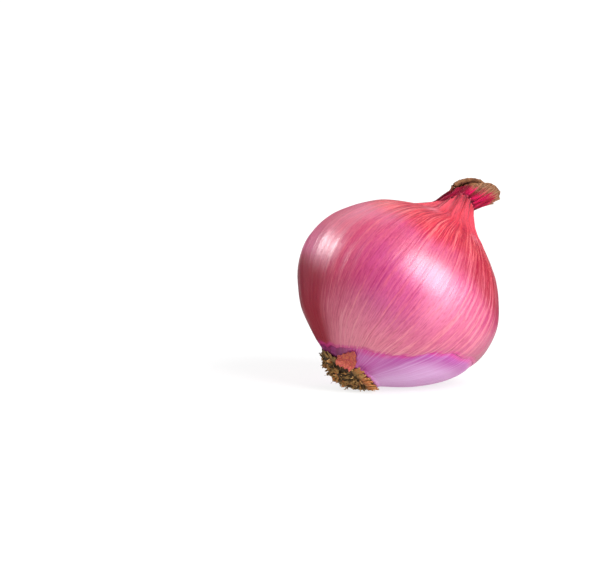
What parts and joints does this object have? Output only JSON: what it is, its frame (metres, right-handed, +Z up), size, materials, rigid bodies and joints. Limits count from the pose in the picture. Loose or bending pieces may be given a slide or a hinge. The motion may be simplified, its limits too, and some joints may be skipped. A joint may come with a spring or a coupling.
{
  "type": "onion",
  "caption": "Whole red onion lying on its flank, with glossy papery skin, a dry folded neck and a rough root end; a fresh vegetable.",
  "frame": {"origin": "on the plane the onion lies on, below the centre of its bounding box", "axes": "+Z up from the plane it lies on; the onion's own axis runs from the root, at -X, to the neck, at +X, 52 degrees above that plane, in the XZ plane"},
  "size_m": [0.0754, 0.0756, 0.0737],
  "materials": {
    "bulb": "smooth moist onion flesh, light purple, with a satin sheen",
    "outer_skin": "dry papery onion skin, glossy pink to crimson with fine paler veins",
    "neck_leaves": "dried leaf tops, crimson with a tan fibrous rim",
    "root_plate": "dry matted roots, dull brown",
    "skin_scrap": "dry brick-red scrap of skin"
  },
  "bodies": {
    "root": {"bulb": "bulb", "outer_skin": "outer_skin", "neck_leaves": "neck_leaves", "root_plate": "root_plate", "skin_scrap": "skin_scrap"}
  },
  "joints": []
}
